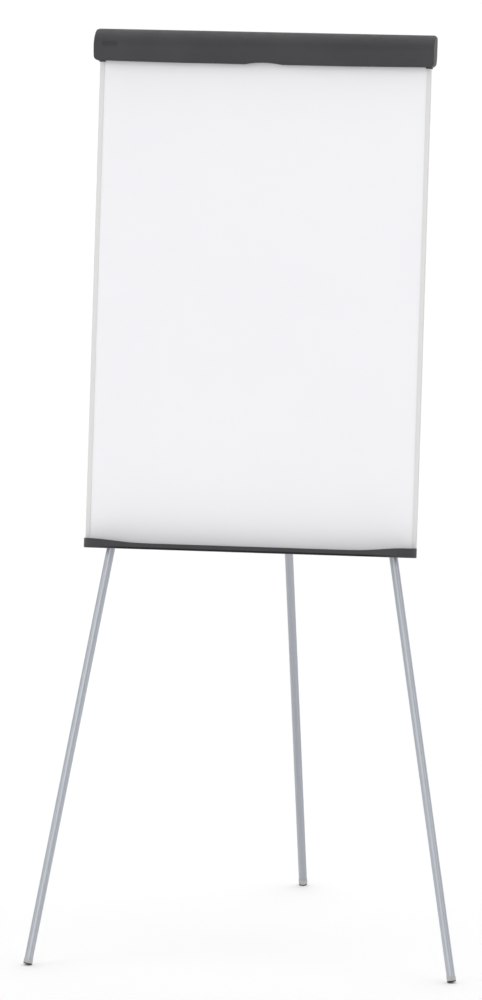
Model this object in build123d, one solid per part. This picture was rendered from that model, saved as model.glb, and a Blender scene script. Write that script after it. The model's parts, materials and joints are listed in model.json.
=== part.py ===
from build123d import *
import math
import os

# Flipchart easel on a telescopic tripod. Lengths in mm, angles in degrees.
# Board frame: x to the reader's right, y away from the reader, z up the board.
# Its y = 0 is the front of the side profiles and its z = 0 is the pen tray's underside.
# Leg frames: z up along the leg's axis, y away from the board, origin at the leg's top mount.

# ---- driving dimensions ----
BOARD_WIDTH = 700.0
BOARD_LEAN = 9.0
BOARD_BOTTOM_HEIGHT = 875.2
HEADER_TOP = 1089.3
HEADER_HEIGHT = 71.0
HEADER_LENGTH = 718.4
LEG_MOUNT_HEIGHT = 1029.0
LEG_MOUNT_SPACING = 247.6
FOOT_SPACING = 899.6
FRONT_LEG_OFFSET = 27.0
REAR_PIVOT_OFFSET = 35.0
REAR_FOOT_REACH = 786.0

# ---- board panel ----
PROFILE_DEPTH = 13.0
PROFILE_LIP = 9.5
LIP_THICKNESS = 1.2
PROFILE_WEB = 1.5
PROFILE_EDGE_RADIUS = 1.0
FACE_SHEET = 0.4
BACK_SHEET = 0.3
PANEL_BOTTOM = 3.0
PANEL_TOP = 1070.0
HALF_BOARD = BOARD_WIDTH / 2
HALF_PANEL = HALF_BOARD - PROFILE_WEB
FACE_Y = LIP_THICKNESS
BACK_Y = PROFILE_DEPTH - LIP_THICKNESS

# ---- header rail ----
RAIL_BOTTOM = 1050.0
RAIL_TOP = 1073.0
RAIL_FRONT = -2.5
RAIL_BACK = 15.5
HALF_RAIL = 352.5
SOCKET_BOTTOM = 1018.6
SOCKET_WALL = 1.8
HINGE_Y = 14.0
HINGE_Z = 1079.0
LUG_RADIUS = 4.4
LUG_INNER = 329.0
LUG_OUTER = 340.0
PIN_RADIUS = 2.0
PIN_INNER = 315.0
PIN_OUTER = 354.0
SPRING_SEAT_HEIGHT = 2.2
SPRING_SEAT_DEPTH = 5.0
SPRING_SEAT_LENGTH = 12.0
HEADER_SCREW_Z = 1060.0
HEADER_SCREW_X = (-300.0, -180.0, -60.0, 60.0, 180.0, 300.0)

# ---- clamp bar ----
BAR_BACK = 20.0
BAR_FRONT = -35.0
BULGE_Z = 1050.0
BOTTOM_EDGE_Y = -25.0
BAR_WALL = 3.0
BAR_END_WALL = 6.0
BAR_BOW = 2.4
NOTCH_WIDTH = 84.0
NOTCH_DEPTH = 4.3
END_UPPER_RADIUS = 8.0
END_LOWER_RADIUS = 10.0
END_EDGE_RADIUS = 2.0
END_REAR_RADIUS = 32.0
FLANGE_BOTTOM = 1024.6
FLANGE_THICKNESS = 2.5
FLANGE_BACK = -5.0
HALF_FLANGE = 333.0
RIB_DEPTH = 5.0
RIB_THICKNESS = 2.0
RIB_PITCH = 95.0
RIB_COUNT = 7
BOSS_INNER = 341.0
STRIP_GAP = 0.3
STRIP_HEIGHT = 4.0
STRIP_LIP_RADIUS = 1.5
SPRING_WIRE_RADIUS = 0.45
SPRING_MEAN_RADIUS = 3.3
SPRING_PITCH = 1.5
SPRING_TURNS = 6
SPRING_FRONT_END = 1.0
SPRING_REAR_END = 19.2
SPRING_REAR_RISE = 0.9

# ---- paper hooks ----
TRACK_BOTTOM = 1033.0
TRACK_TOP = 1049.0
TRACK_FRONT = -8.0
TRACK_WALL = 2.0
TRACK_SLOT = 7.0
HALF_TRACK = 322.0
HOOK_REST = 250.0
HOOK_LENGTH = 22.0
HOOK_PLAY = 0.3
PEG_RADIUS = 3.0
PEG_SHANK_RADIUS = 2.0
PEG_TIP = -20.0
PEG_ROOT = -4.5
PEG_TIP_RADIUS = 1.5
TRACK_EDGE_RADIUS = 0.8
THUMB_PAD_THICKNESS = 2.0
THUMB_PAD_HALF_HEIGHT = 6.5
THUMB_PAD_CORNER = 2.5

# ---- pen tray ----
HALF_TRAY = 351.5
TRAY_DEPTH = 45.0
TRAY_WALL = 2.5
TRAY_END_HEIGHT = 20.0
TRAY_MIDDLE_HEIGHT = 12.8
TRAY_RISE_START = 186.0
TRAY_RISE_KNEE = (255.0, 14.3)
TRAY_RISE_END = 334.0
TRAY_CORNER_RADIUS = 42.0
TRAY_UNDER_RADIUS = 1.5
TRAY_ROLL_RADIUS = 5.0
TRAY_UPSTAND = 9.0
TRAY_REAR_HEIGHT = 12.0
TRAY_REAR_WALL = 1.8
TRAY_REAR_HALF = 345.0
TRAY_SCREW_Z = 8.0
TRAY_SCREW_X = (-240.0, -80.0, 80.0, 240.0)

# ---- leg bracket and pivot ----
BRACKET_HALF_WIDTH = 152.0
BRACKET_BOTTOM = 1006.0
BRACKET_TOP = 1049.0
BRACKET_PLATE = 3.0
BRACKET_CORNER = 8.0
BRACKET_RIB = 4.0
SLEEVE_RADIUS = 14.0
SLEEVE_BELOW = 24.0
SLEEVE_ABOVE = 20.0
TUBE_STOP = 15.0
EAR_INNER = 12.5
EAR_OUTER = 17.0
EAR_RADIUS = 13.0
STOP_BLOCK_Y = 21.0
STOP_BLOCK_Z = (1033.0, 1042.0)
STOP_GAP = 0.2
BRACKET_SCREWS = ((-140.0, 1014.0), (-95.0, 1040.0), (-50.0, 1018.0),
                  (50.0, 1018.0), (95.0, 1040.0), (140.0, 1014.0))
BOLT_RADIUS = 4.0
BOLT_CLEARANCE = 0.08
BOLT_HEAD_FLATS = 13.0
BOLT_HEAD_HEIGHT = 5.3
NUT_HEIGHT = 6.5
WASHER_RADIUS = 8.0
WASHER_THICKNESS = 1.5
BOLT_END = 2.0

# ---- rear leg head ----
HEAD_HALF_WIDTH = 11.7
HEAD_RADIUS = 12.0
HEAD_NECK = 11.0
HEEL_MARGIN = 1.0
HEAD_SOCKET_TOP = 18.0
HEAD_SOCKET_BOTTOM = 62.0
HEAD_TUBE_TOP = 22.0

# ---- telescopic tubes ----
UPPER_RADIUS = 11.0
LOWER_RADIUS = 9.0
TUBE_WALL = 1.0
UPPER_LENGTH = 1000.0
LOWER_LENGTH = 1060.0
SLIDE_FIT = 0.1
PLUG_HEAD = 12.0
PLUG_STEM = 20.0
PLUG_CHAMFER = 1.0

# ---- collar and cam lever ----
COLLAR_RADIUS = 13.5
COLLAR_BELOW = 25.0
COLLAR_ABOVE = 35.0
TONGUE = 2.8
COLLAR_EDGE_RADIUS = 1.2
CAM_WINDOW = 18.0
CHEEK_INNER = 5.0
CHEEK_OUTER = 9.0
CHEEK_RADIUS = 6.5
LEVER_PIN_Y = 19.5
LEVER_PIN_Z = -12.0
LEVER_PIN_RADIUS = 2.0
LEVER_PIN_FIT = 0.08
CAM_RADIUS = 6.0
CAM_LOBE_RADIUS = 6.4
CAM_OFFSET = 0.8
LEVER_HALF_WIDTH = 4.7
LEVER_GRIP_HALF_WIDTH = 8.0
LEVER_ARM_Y = 15.5
LEVER_ARM_THICKNESS = 4.5
LEVER_GRIP_START = 4.0
LEVER_TOP = 44.0
LEVER_FLARE = 12.0
LEVER_FLARE_DEPTH = 3.5
LEVER_TIP_RADIUS = 1.2

# ---- feet ----
CAP_RADIUS = 9.6
CAP_SLEEVE = 7.0
CAP_FLOOR = 2.5
CAP_EDGE_RADIUS = 0.5
PAD_RADIUS = 9.3
PAD_THICKNESS = 2.8
PAD_EDGE = 1.2
PAD_STEM_RADIUS = 4.0

# ---- saddles ----
SADDLE_Z = 122.0
SADDLE_HEIGHT = 26.0
SADDLE_RADIUS = 14.5
SADDLE_HALF_WIDTH = 31.0
SADDLE_FOOT = 4.0
SADDLE_SCREW_X = 23.0
SADDLE_CORNER = 4.0

# ---- screws ----
SCREW_RADIUS = 2.0
SCREW_DEPTH = 7.0
SCREW_HEAD_RADIUS = 4.2
SCREW_HEAD_HEIGHT = 2.4
HOLE_CLEARANCE = 0.2
HEAD_EDGE_RADIUS = 1.0
SLOT_HALF_WIDTH = 0.5
SLOT_HALF_LENGTH = 2.0
SLOT_DEPTH = 1.0

# How far a cutting shape runs past the face that it cuts, and a part stays off its neighbour.
OVERCUT = 1.0


def board_frame():
    """The board's own frame in the upright world, before the whole easel is centred."""
    return Pos(0, 0, BOARD_BOTTOM_HEIGHT) * Rot(-BOARD_LEAN, 0, 0)


def box(x, y, z):
    """A box from its lowest and highest x, y and z."""
    size = (x[1] - x[0], y[1] - y[0], z[1] - z[0])
    centre = ((x[0] + x[1]) / 2, (y[0] + y[1]) / 2, (z[0] + z[1]) / 2)
    return Pos(*centre) * Box(*size)


def rod(start, end, radius):
    """A round rod between two points."""
    a = Vector(*start)
    b = Vector(*end)
    plane = Plane(origin=a, z_dir=b - a)
    return extrude(plane * Circle(radius), (b - a).length)


def section(points_y_z, x):
    """A closed straight-sided section in the y-z plane, extruded between two x values."""
    outline = Polyline(*[(x[0], y, z) for y, z in points_y_z], close=True)
    return extrude(make_face(outline), x[1] - x[0], dir=(1, 0, 0))


def both_sides(build):
    """The left and right versions of a part made by build(side), where side is -1 or 1."""
    return {"left": build(-1), "right": build(1)}


# ---------------------------------------------------------------- board


def writing_sheet():
    return box((-HALF_PANEL, HALF_PANEL), (FACE_Y, FACE_Y + FACE_SHEET), (PANEL_BOTTOM, PANEL_TOP))


def board_core():
    depth = (FACE_Y + FACE_SHEET, BACK_Y - BACK_SHEET)
    return box((-HALF_PANEL, HALF_PANEL), depth, (PANEL_BOTTOM, PANEL_TOP))


def backing_sheet():
    return box((-HALF_PANEL, HALF_PANEL), (BACK_Y - BACK_SHEET, BACK_Y), (PANEL_BOTTOM, PANEL_TOP))


def side_profile(side):
    """U-shaped edge profile that wraps one side of the panel."""
    inner = HALF_BOARD - PROFILE_LIP
    bar = box((inner, HALF_BOARD), (0, PROFILE_DEPTH), (PANEL_BOTTOM, PANEL_TOP))
    outer_edges = bar.edges().filter_by(Axis.Z).group_by(Axis.X)[-1]
    bar = fillet(outer_edges, PROFILE_EDGE_RADIUS)
    bar -= box((inner - OVERCUT, HALF_PANEL), (FACE_Y, BACK_Y), (PANEL_BOTTOM, PANEL_TOP))
    return bar if side > 0 else mirror(bar, Plane.YZ)


# ---------------------------------------------------------------- paper clamp


def hinge_rod(side, start, end, radius):
    """A rod on the clamp bar's hinge axis, between two distances from the middle."""
    return rod((side * start, HINGE_Y, HINGE_Z), (side * end, HINGE_Y, HINGE_Z), radius)


def header_rail():
    """Fixed rail that grips the board's top edge, with hinge lugs and profile sockets."""
    rail = box((-HALF_RAIL, HALF_RAIL), (RAIL_FRONT, RAIL_BACK), (RAIL_BOTTOM, RAIL_TOP))
    profile_inner = HALF_BOARD - PROFILE_LIP
    for side in (-1, 1):
        x = sorted((side * (profile_inner - SOCKET_WALL), side * (HALF_BOARD + SOCKET_WALL)))
        depth = (-SOCKET_WALL, PROFILE_DEPTH + SOCKET_WALL)
        rail += box(x, depth, (SOCKET_BOTTOM, RAIL_BOTTOM))
        x = sorted((side * LUG_INNER, side * LUG_OUTER))
        rail += box(x, (HINGE_Y - LUG_RADIUS, RAIL_BACK), (RAIL_TOP, HINGE_Z))
        rail += hinge_rod(side, LUG_INNER, LUG_OUTER, LUG_RADIUS)
        rail -= hinge_rod(side, LUG_INNER, LUG_OUTER, PIN_RADIUS)
        x = sorted((side * (LUG_INNER - SPRING_SEAT_LENGTH), side * LUG_INNER))
        rail += box(x, (0, SPRING_SEAT_DEPTH), (RAIL_TOP, RAIL_TOP + SPRING_SEAT_HEIGHT))
        x = sorted((side * profile_inner, side * HALF_BOARD))
        rail -= box(x, (0, PROFILE_DEPTH), (SOCKET_BOTTOM, PANEL_TOP))
    rail -= box((-HALF_PANEL, HALF_PANEL), (FACE_Y, BACK_Y), (SOCKET_BOTTOM, PANEL_TOP))
    for x in HEADER_SCREW_X:
        rail -= screw_hole(x, RAIL_BACK, HEADER_SCREW_Z)
    return rail


def bar_section(inset):
    """Half-round section of the header, in the y-z plane, drawn in by inset."""
    top = HEADER_TOP - inset
    front = BAR_FRONT + inset
    bottom = HEADER_TOP - HEADER_HEIGHT
    drop = BULGE_Z - bottom
    tuck = BOTTOM_EDGE_Y - BAR_FRONT
    radius = (drop**2 + tuck**2) / (2 * tuck)
    centre = (BAR_FRONT + radius, BULGE_Z)
    lower_radius = radius - inset
    half = math.degrees(math.asin(drop / radius))
    plane = Plane.YZ
    upper = plane * EllipticalCenterArc((BAR_BACK, BULGE_Z), BAR_BACK - front, top - BULGE_Z, 90)
    lower = plane * CenterArc(centre, lower_radius, 180, half)
    low_y = centre[0] - lower_radius * math.cos(math.radians(half))
    low_z = BULGE_Z - lower_radius * math.sin(math.radians(half))
    close = plane * Polyline((low_y, low_z), (BAR_BACK, low_z), (BAR_BACK, top))
    return make_face([upper, lower, close])


def front_outline():
    """The clamp bar seen from the front: rounded ends, a bowed lower edge and a thumb notch."""
    half = HEADER_LENGTH / 2
    bottom = HEADER_TOP - HEADER_HEIGHT - BAR_BOW / 4
    corner = bottom + BAR_BOW
    sides = Polyline((-half, corner), (-half, HEADER_TOP), (half, HEADER_TOP), (half, corner))
    lower = ThreePointArc((-half, corner), (0, bottom), (half, corner))
    face = make_face([sides, lower])
    face = fillet(face.vertices().group_by(Axis.Y)[0], END_LOWER_RADIUS)
    face = fillet(face.vertices().group_by(Axis.Y)[-1], END_UPPER_RADIUS)
    notch_radius = ((NOTCH_WIDTH / 2) ** 2 + NOTCH_DEPTH**2) / (2 * NOTCH_DEPTH)
    face -= Pos(0, bottom + NOTCH_DEPTH - notch_radius) * Circle(notch_radius)
    return extrude(Plane.XZ * face, HEADER_HEIGHT, both=True)


def bar_block(inset, half_length):
    """Solid of the header's section over a length, centred on the board."""
    face = Pos(-half_length, 0, 0) * bar_section(inset)
    return extrude(face, 2 * half_length, dir=(1, 0, 0))


def rear_corner(half_length):
    """What is cut away to round the lower rear corner of the clamp bar's closed ends."""
    low = HEADER_TOP - HEADER_HEIGHT
    centre_y = BAR_BACK - END_REAR_RADIUS
    centre_z = low + END_REAR_RADIUS
    corner = box((-half_length, half_length), (centre_y, BAR_BACK), (low, centre_z))
    return corner - rod((-half_length, centre_y, centre_z), (half_length, centre_y, centre_z), END_REAR_RADIUS)


def clamp_bar():
    """Flip-up clamp bar: a curved shell with closed ends, ribs, a lower flange and hinge bosses."""
    half = HEADER_LENGTH / 2
    block = bar_block(0, half)
    for end in (Axis.X, -Axis.X):
        face = block.faces().sort_by(end)[-1]
        curved = face.edges().filter_by(GeomType.LINE, reverse=True)
        block = fillet(curved, END_EDGE_RADIUS)
    block &= front_outline()
    block -= rear_corner(half)
    hollow = bar_block(BAR_WALL, half - BAR_END_WALL)
    hollow += Pos(0, 0, -BAR_WALL) * hollow
    bar = block - hollow
    ribs = bar_block(BAR_WALL, RIB_THICKNESS / 2) - bar_block(BAR_WALL + RIB_DEPTH, RIB_THICKNESS)
    ribs &= box((-RIB_PITCH, RIB_PITCH), (BAR_FRONT, HINGE_Y - 2 * LUG_RADIUS),
                (FLANGE_BOTTOM + FLANGE_THICKNESS / 2, HEADER_TOP))
    for index in range(RIB_COUNT):
        bar += Pos((index - (RIB_COUNT - 1) / 2) * RIB_PITCH, 0, 0) * ribs
    flange = box((-HALF_FLANGE, HALF_FLANGE), (BAR_FRONT, FLANGE_BACK),
                 (FLANGE_BOTTOM, FLANGE_BOTTOM + FLANGE_THICKNESS))
    bar += flange & bar_block(BAR_WALL / 2, half)
    for side in (-1, 1):
        bar += hinge_rod(side, BOSS_INNER, half - BAR_WALL, LUG_RADIUS)
        x = sorted((side * BOSS_INNER, side * (half - BAR_WALL)))
        bar += box(x, (HINGE_Y - LUG_RADIUS, HINGE_Y + LUG_RADIUS),
                   (HINGE_Z, HEADER_TOP - BAR_WALL / 2))
        bar -= hinge_rod(side, BOSS_INNER, PIN_OUTER + STRIP_GAP, PIN_RADIUS + BOLT_CLEARANCE)
    return bar


def clamp_strip():
    """Rubber strip along the flange, which presses the pad against the board."""
    low = FLANGE_BOTTOM - (STRIP_HEIGHT - FLANGE_THICKNESS) / 2
    strip = box((-HALF_FLANGE, HALF_FLANGE), (FLANGE_BACK, FACE_Y - STRIP_GAP), (low, low + STRIP_HEIGHT))
    lips = strip.edges().filter_by(Axis.X).group_by(Axis.Y)[-1]
    return fillet(lips, STRIP_LIP_RADIUS)


def hinge_pin(side):
    return hinge_rod(side, PIN_INNER, PIN_OUTER, PIN_RADIUS)


def clamp_spring(side):
    """Torsion spring round the hinge pin, between the rail's seat and the bar's rear edge."""
    length = SPRING_PITCH * SPRING_TURNS
    outer = LUG_INNER - OVERCUT
    inner = outer - length
    path = Helix(SPRING_PITCH, length, SPRING_MEAN_RADIUS)
    coil = sweep(Plane(origin=path @ 0, z_dir=path % 0) * Circle(SPRING_WIRE_RADIUS), path)
    coil = Pos(inner, HINGE_Y, HINGE_Z) * Rot(0, 90, 0) * coil
    low = HINGE_Z - SPRING_MEAN_RADIUS
    high = HINGE_Z + SPRING_MEAN_RADIUS
    coil += rod((inner, HINGE_Y, low), (inner, SPRING_FRONT_END, low), SPRING_WIRE_RADIUS)
    coil += rod((outer, HINGE_Y, high), (outer, SPRING_REAR_END, high + SPRING_REAR_RISE), SPRING_WIRE_RADIUS)
    return coil if side > 0 else mirror(coil, Plane.YZ)


def hook_track():
    """Extruded track across the board's top, with a slot along its front."""
    track = box((-HALF_TRACK, HALF_TRACK), (TRACK_FRONT, FACE_Y), (TRACK_BOTTOM, TRACK_TOP))
    front_edges = track.edges().filter_by(Axis.X).group_by(Axis.Y)[0]
    track = fillet(front_edges, TRACK_EDGE_RADIUS)
    track -= box((-HALF_TRACK, HALF_TRACK), (TRACK_FRONT + TRACK_WALL, FACE_Y - TRACK_WALL),
                 (TRACK_BOTTOM + TRACK_WALL, TRACK_TOP - TRACK_WALL))
    middle = (TRACK_BOTTOM + TRACK_TOP) / 2
    track -= box((-HALF_TRACK, HALF_TRACK), (TRACK_FRONT, FACE_Y - TRACK_WALL),
                 (middle - TRACK_SLOT / 2, middle + TRACK_SLOT / 2))
    return track


def peg_rod(side, start, end, radius):
    """A rod on a hook's peg axis, between two depths."""
    middle = (TRACK_BOTTOM + TRACK_TOP) / 2
    return rod((side * HOOK_REST, start, middle), (side * HOOK_REST, end, middle), radius)


def paper_hook(side):
    """Slider in the track, with a thumb pad in front of the slot and a hole for the peg."""
    x = (side * HOOK_REST - HOOK_LENGTH / 2, side * HOOK_REST + HOOK_LENGTH / 2)
    middle = (TRACK_BOTTOM + TRACK_TOP) / 2
    inside = (TRACK_TOP - TRACK_BOTTOM) / 2 - TRACK_WALL - HOOK_PLAY
    neck = TRACK_SLOT / 2 - HOOK_PLAY
    depth = (TRACK_FRONT + TRACK_WALL + HOOK_PLAY, FACE_Y - TRACK_WALL - HOOK_PLAY)
    hook = box(x, depth, (middle - inside, middle + inside))
    pad_back = TRACK_FRONT - HOOK_PLAY
    hook += box(x, (pad_back, depth[1]), (middle - neck, middle + neck))
    pad = box(x, (pad_back - THUMB_PAD_THICKNESS, pad_back),
              (middle - THUMB_PAD_HALF_HEIGHT, middle + THUMB_PAD_HALF_HEIGHT))
    hook += fillet(pad.edges().filter_by(Axis.Y), THUMB_PAD_CORNER)
    return hook - peg_rod(side, PEG_ROOT, PEG_TIP, PEG_SHANK_RADIUS)


def hook_peg(side):
    """Round peg that one of the pad's holes hangs on, with a thinner shank through the hook."""
    shoulder = TRACK_FRONT - HOOK_PLAY - THUMB_PAD_THICKNESS
    peg = peg_rod(side, shoulder, PEG_TIP, PEG_RADIUS)
    tip = peg.edges().group_by(Axis.Y)[0]
    return fillet(tip, PEG_TIP_RADIUS) + peg_rod(side, PEG_ROOT, shoulder, PEG_SHANK_RADIUS)


# ---------------------------------------------------------------- screws


def screw(x, y, z):
    """Pan-head screw driven towards the reader, its head standing on y, in the board frame."""
    top = y + SCREW_HEAD_HEIGHT
    head = rod((x, y, z), (x, top, z), SCREW_HEAD_RADIUS)
    head = fillet(head.edges().group_by(Axis.Y)[-1], HEAD_EDGE_RADIUS)
    for half_x, half_z in ((SLOT_HALF_WIDTH, SLOT_HALF_LENGTH), (SLOT_HALF_LENGTH, SLOT_HALF_WIDTH)):
        head -= box((x - half_x, x + half_x), (top - SLOT_DEPTH, top), (z - half_z, z + half_z))
    return head + rod((x, y - SCREW_DEPTH, z), (x, y, z), SCREW_RADIUS)


def screw_hole(x, y, z):
    """Clearance hole for a screw whose head stands on y."""
    return rod((x, y - SCREW_DEPTH, z), (x, y + OVERCUT, z), SCREW_RADIUS + HOLE_CLEARANCE)


def header_screws():
    return Compound([screw(x, RAIL_BACK, HEADER_SCREW_Z) for x in HEADER_SCREW_X])


def tray_screws():
    y = PROFILE_DEPTH + TRAY_REAR_WALL
    return Compound([screw(x, y, TRAY_SCREW_Z) for x in TRAY_SCREW_X])


def bracket_screws():
    return Compound([screw(x, BACK_Y + BRACKET_PLATE, z) for x, z in BRACKET_SCREWS])


# ---------------------------------------------------------------- pen tray


def tray_plan(inset, back):
    """The tray seen from above, with round front corners, drawn in by inset."""
    half = HALF_TRAY - inset
    front = -TRAY_DEPTH + inset
    radius = TRAY_CORNER_RADIUS - inset
    face = Pos(0, (front + back) / 2) * Rectangle(2 * half, back - front)
    corners = face.vertices().group_by(Axis.Y)[0]
    return fillet(corners, radius)


def tray_rim():
    """What is cut away above the tray's rim, which is low in the middle and high at the ends."""
    over = 2 * TRAY_END_HEIGHT
    rise = [(TRAY_RISE_START, TRAY_MIDDLE_HEIGHT), TRAY_RISE_KNEE, (TRAY_RISE_END, TRAY_END_HEIGHT)]
    right = Spline(*rise, tangents=[(1, 0), (1, 0)])
    left = mirror(right, Plane.YZ)
    middle = Line((-TRAY_RISE_START, TRAY_MIDDLE_HEIGHT), (TRAY_RISE_START, TRAY_MIDDLE_HEIGHT))
    top = Polyline((TRAY_RISE_END, TRAY_END_HEIGHT), (TRAY_RISE_END, over),
                   (-TRAY_RISE_END, over), (-TRAY_RISE_END, TRAY_END_HEIGHT))
    face = Plane.XZ * make_face([left, middle, right, top])
    return extrude(face, 2 * TRAY_DEPTH, both=True)


def tray_roll():
    """Everything above and behind the tray's front, whose lower edge is rolled under."""
    room = 2 * HALF_TRAY
    block = box((-room, room), (-TRAY_DEPTH, room), (0, room))
    edge = block.edges().filter_by(Axis.X).group_by(Axis.Z)[0].sort_by(Axis.Y)[0]
    return fillet(edge, TRAY_ROLL_RADIUS)


def pen_tray():
    """Moulded tray with a rolled-under front, a rear upstand and a channel for the board's edge."""
    tray = extrude(tray_plan(0, 0), TRAY_END_HEIGHT)
    under = tray.edges().group_by(Axis.Z)[0].filter_by(lambda e: e.center().Y < -OVERCUT)
    tray = fillet(under, TRAY_UNDER_RADIUS)
    tray -= Pos(0, 0, TRAY_WALL) * extrude(tray_plan(TRAY_WALL, -TRAY_WALL), TRAY_END_HEIGHT)
    inner = HALF_TRAY - TRAY_WALL
    tray -= box((-inner, inner), (-TRAY_WALL, 0), (TRAY_UPSTAND, TRAY_END_HEIGHT))
    tray -= tray_rim()
    rear = PROFILE_DEPTH + TRAY_REAR_WALL
    tray += box((-TRAY_REAR_HALF, TRAY_REAR_HALF), (0, rear), (0, PANEL_BOTTOM))
    tray += box((-TRAY_REAR_HALF, TRAY_REAR_HALF), (PROFILE_DEPTH, rear), (0, TRAY_REAR_HEIGHT))
    tray &= tray_roll()
    for x in TRAY_SCREW_X:
        tray -= screw_hole(x, rear, TRAY_SCREW_Z)
    return tray


# ---------------------------------------------------------------- leg frames


def foot_end_height(tilt):
    """Height of the pad's end centre when its rounded rim touches the floor at this tilt."""
    lean = math.radians(tilt)
    return PAD_EDGE * (1 - math.cos(lean)) + (PAD_RADIUS - PAD_EDGE) * math.sin(lean)


def front_splay():
    """Angle of a front leg from the board's upright direction, in the board's plane."""
    lean = math.radians(BOARD_LEAN)
    floor_z = -(BOARD_BOTTOM_HEIGHT - FRONT_LEG_OFFSET * math.sin(lean)) / math.cos(lean)
    run = (FOOT_SPACING - LEG_MOUNT_SPACING) / 2
    return math.degrees(math.atan2(run, LEG_MOUNT_HEIGHT - floor_z))


def front_leg_frame(side):
    mount = Pos(side * LEG_MOUNT_SPACING / 2, FRONT_LEG_OFFSET, LEG_MOUNT_HEIGHT)
    return board_frame() * mount * Rot(0, -side * front_splay(), 0)


def rear_pivot():
    """The rear leg's pivot in the world."""
    return (board_frame() * Pos(0, REAR_PIVOT_OFFSET, LEG_MOUNT_HEIGHT)).position


def rear_tilt():
    pivot = rear_pivot()
    return math.degrees(math.atan2(REAR_FOOT_REACH - pivot.Y, pivot.Z))


def rear_leg_frame():
    return Pos(*rear_pivot()) * Rot(rear_tilt(), 0, 0)


def leg_reach(frame):
    """Length along a leg from its frame's origin to the end of its rubber pad."""
    origin = frame.position
    up = (frame * Pos(0, 0, 1)).position - origin
    tilt = math.degrees(math.acos(up.Z))
    return (origin.Z - foot_end_height(tilt)) / up.Z


# ---------------------------------------------------------------- bracket and pivot


def leg_bracket():
    """Moulded bracket: plate, two sleeves for the front tubes and a clevis for the rear leg."""
    plate = Plane.XZ * (Pos(0, (BRACKET_BOTTOM + BRACKET_TOP) / 2) * RectangleRounded(
        2 * BRACKET_HALF_WIDTH, BRACKET_TOP - BRACKET_BOTTOM, BRACKET_CORNER))
    bracket = Pos(0, BACK_Y, 0) * extrude(plate, BRACKET_PLATE, dir=(0, 1, 0))
    rib_z = (BRACKET_TOP + BRACKET_BOTTOM) / 2
    bracket += box((-LEG_MOUNT_SPACING / 2, LEG_MOUNT_SPACING / 2), (BACK_Y, STOP_BLOCK_Y),
                   (rib_z - BRACKET_RIB / 2, rib_z + BRACKET_RIB / 2))
    for side in (-1, 1):
        ear = sorted((side * EAR_INNER, side * EAR_OUTER))
        low = LEG_MOUNT_HEIGHT - EAR_RADIUS
        high = LEG_MOUNT_HEIGHT + EAR_RADIUS
        bracket += box(ear, (BACK_Y, REAR_PIVOT_OFFSET), (low, high))
        bracket += rod((ear[0], REAR_PIVOT_OFFSET, LEG_MOUNT_HEIGHT),
                       (ear[1], REAR_PIVOT_OFFSET, LEG_MOUNT_HEIGHT), EAR_RADIUS)
    bracket -= box((-EAR_INNER, EAR_INNER), (BACK_Y + BRACKET_PLATE, STOP_BLOCK_Y),
                   (BRACKET_BOTTOM, BRACKET_TOP))
    bracket += box((-EAR_INNER, EAR_INNER), (BACK_Y, STOP_BLOCK_Y), STOP_BLOCK_Z)
    bracket -= rod((-EAR_OUTER, REAR_PIVOT_OFFSET, LEG_MOUNT_HEIGHT),
                   (EAR_OUTER, REAR_PIVOT_OFFSET, LEG_MOUNT_HEIGHT), BOLT_RADIUS)
    for side in (-1, 1):
        local = board_frame().inverse() * front_leg_frame(side)
        bracket += local * rod((0, 0, -SLEEVE_BELOW), (0, 0, SLEEVE_ABOVE), SLEEVE_RADIUS)
        bracket -= local * rod((0, 0, -SLEEVE_BELOW), (0, 0, TUBE_STOP), UPPER_RADIUS)
        bracket -= local * rod((0, LOWER_RADIUS, -SLEEVE_BELOW / 2),
                               (0, SLEEVE_RADIUS + OVERCUT, -SLEEVE_BELOW / 2),
                               SCREW_RADIUS + HOLE_CLEARANCE)
    for x, z in BRACKET_SCREWS:
        bracket -= screw_hole(x, BACK_Y + BRACKET_PLATE, z)
    return bracket


def hexagon_head(x_from, x_to):
    """Hexagonal bolt head or nut on the pivot's axis, in the board frame."""
    plane = Plane(origin=(x_from, REAR_PIVOT_OFFSET, LEG_MOUNT_HEIGHT), x_dir=(0, 1, 0), z_dir=(1, 0, 0))
    face = plane * RegularPolygon(BOLT_HEAD_FLATS / 2, 6, major_radius=False)
    return extrude(face, x_to - x_from, dir=(1, 0, 0))


def pivot_rod(x_from, x_to, radius):
    return rod((x_from, REAR_PIVOT_OFFSET, LEG_MOUNT_HEIGHT),
               (x_to, REAR_PIVOT_OFFSET, LEG_MOUNT_HEIGHT), radius)


def pivot_bolt():
    seat = -EAR_OUTER - WASHER_THICKNESS
    end = EAR_OUTER + WASHER_THICKNESS + NUT_HEIGHT + BOLT_END
    return hexagon_head(seat - BOLT_HEAD_HEIGHT, seat) + pivot_rod(seat, end, BOLT_RADIUS)


def pivot_nut():
    seat = EAR_OUTER + WASHER_THICKNESS
    return hexagon_head(seat, seat + NUT_HEIGHT) - pivot_rod(seat, seat + NUT_HEIGHT, BOLT_RADIUS)


def pivot_washers():
    outer = EAR_OUTER + WASHER_THICKNESS
    left = pivot_rod(-outer, -EAR_OUTER, WASHER_RADIUS) - pivot_rod(-outer, -EAR_OUTER, BOLT_RADIUS)
    right = pivot_rod(EAR_OUTER, outer, WASHER_RADIUS) - pivot_rod(EAR_OUTER, outer, BOLT_RADIUS)
    return Compound([left, right])


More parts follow.
